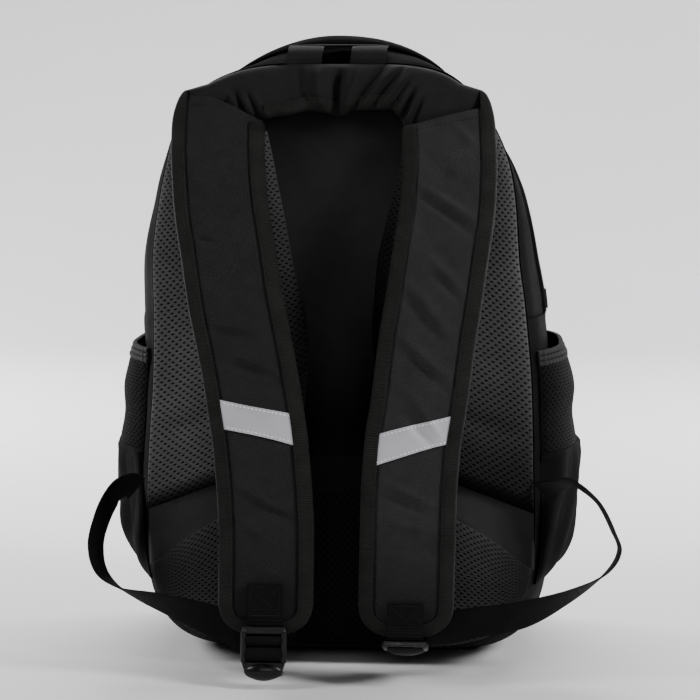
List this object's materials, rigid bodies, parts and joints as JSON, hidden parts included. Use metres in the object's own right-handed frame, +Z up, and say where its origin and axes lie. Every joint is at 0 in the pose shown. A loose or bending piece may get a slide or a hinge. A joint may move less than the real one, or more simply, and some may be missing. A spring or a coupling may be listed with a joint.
{
  "type": "backpack",
  "caption": "Standing soft backpack with padded, bound shoulder straps on a gathered yoke, air-mesh back pads, open side pockets, ladder locks, adjusting webbing and a zipped dome top.",
  "frame": {"origin": "on the floor under the middle of the bag, on the flat underside of the base panel", "axes": "+Z up, -Y out of the side that is worn, +X to the right seen from that side"},
  "size_m": [0.3724, 0.2695, 0.4485],
  "materials": {
    "black_cloth": "matte twill",
    "air_mesh": "matte spacer mesh",
    "pocket_mesh": "matte mesh",
    "binding_tape": "matte ribbed tape",
    "webbing": "satin ribbed weave",
    "reflective_tape": "satin grey",
    "black_plastic": "gloss",
    "zip_tape": "matte",
    "dark_metal": "satin black"
  },
  "bodies": {
    "root": {"base_panel": "black_cloth", "side_panel_left": "black_cloth", "side_panel_right": "black_cloth", "top_gusset_back": "black_cloth", "top_gusset_front": "black_cloth", "main_zip": "zip_tape", "zip_flap": "black_cloth", "zip_slider": "dark_metal", "back_panel": "black_cloth", "front_panel": "black_cloth", "back_pad_left": "air_mesh", "back_pad_right": "air_mesh", "lumbar_pad": "air_mesh", "back_band": "black_cloth", "pocket_cloth_left": "black_cloth", "pocket_mesh_left": "pocket_mesh", "pocket_hem_left": "binding_tape", "pocket_cloth_right": "black_cloth", "pocket_mesh_right": "pocket_mesh", "pocket_hem_right": "binding_tape", "strap_left": "black_cloth", "strap_right": "black_cloth", "strap_binding_left": "binding_tape", "strap_binding_right": "binding_tape", "reflector_left": "reflective_tape", "reflector_right": "reflective_tape", "yoke": "black_cloth", "yoke_binding": "binding_tape", "ladder_lock_left": "black_plastic", "ladder_lock_right": "black_plastic", "strap_tab_left": "webbing", "strap_tab_right": "webbing", "lower_webbing_left": "webbing", "lower_webbing_right": "webbing", "haul_loop": "webbing"}
  },
  "joints": []
}
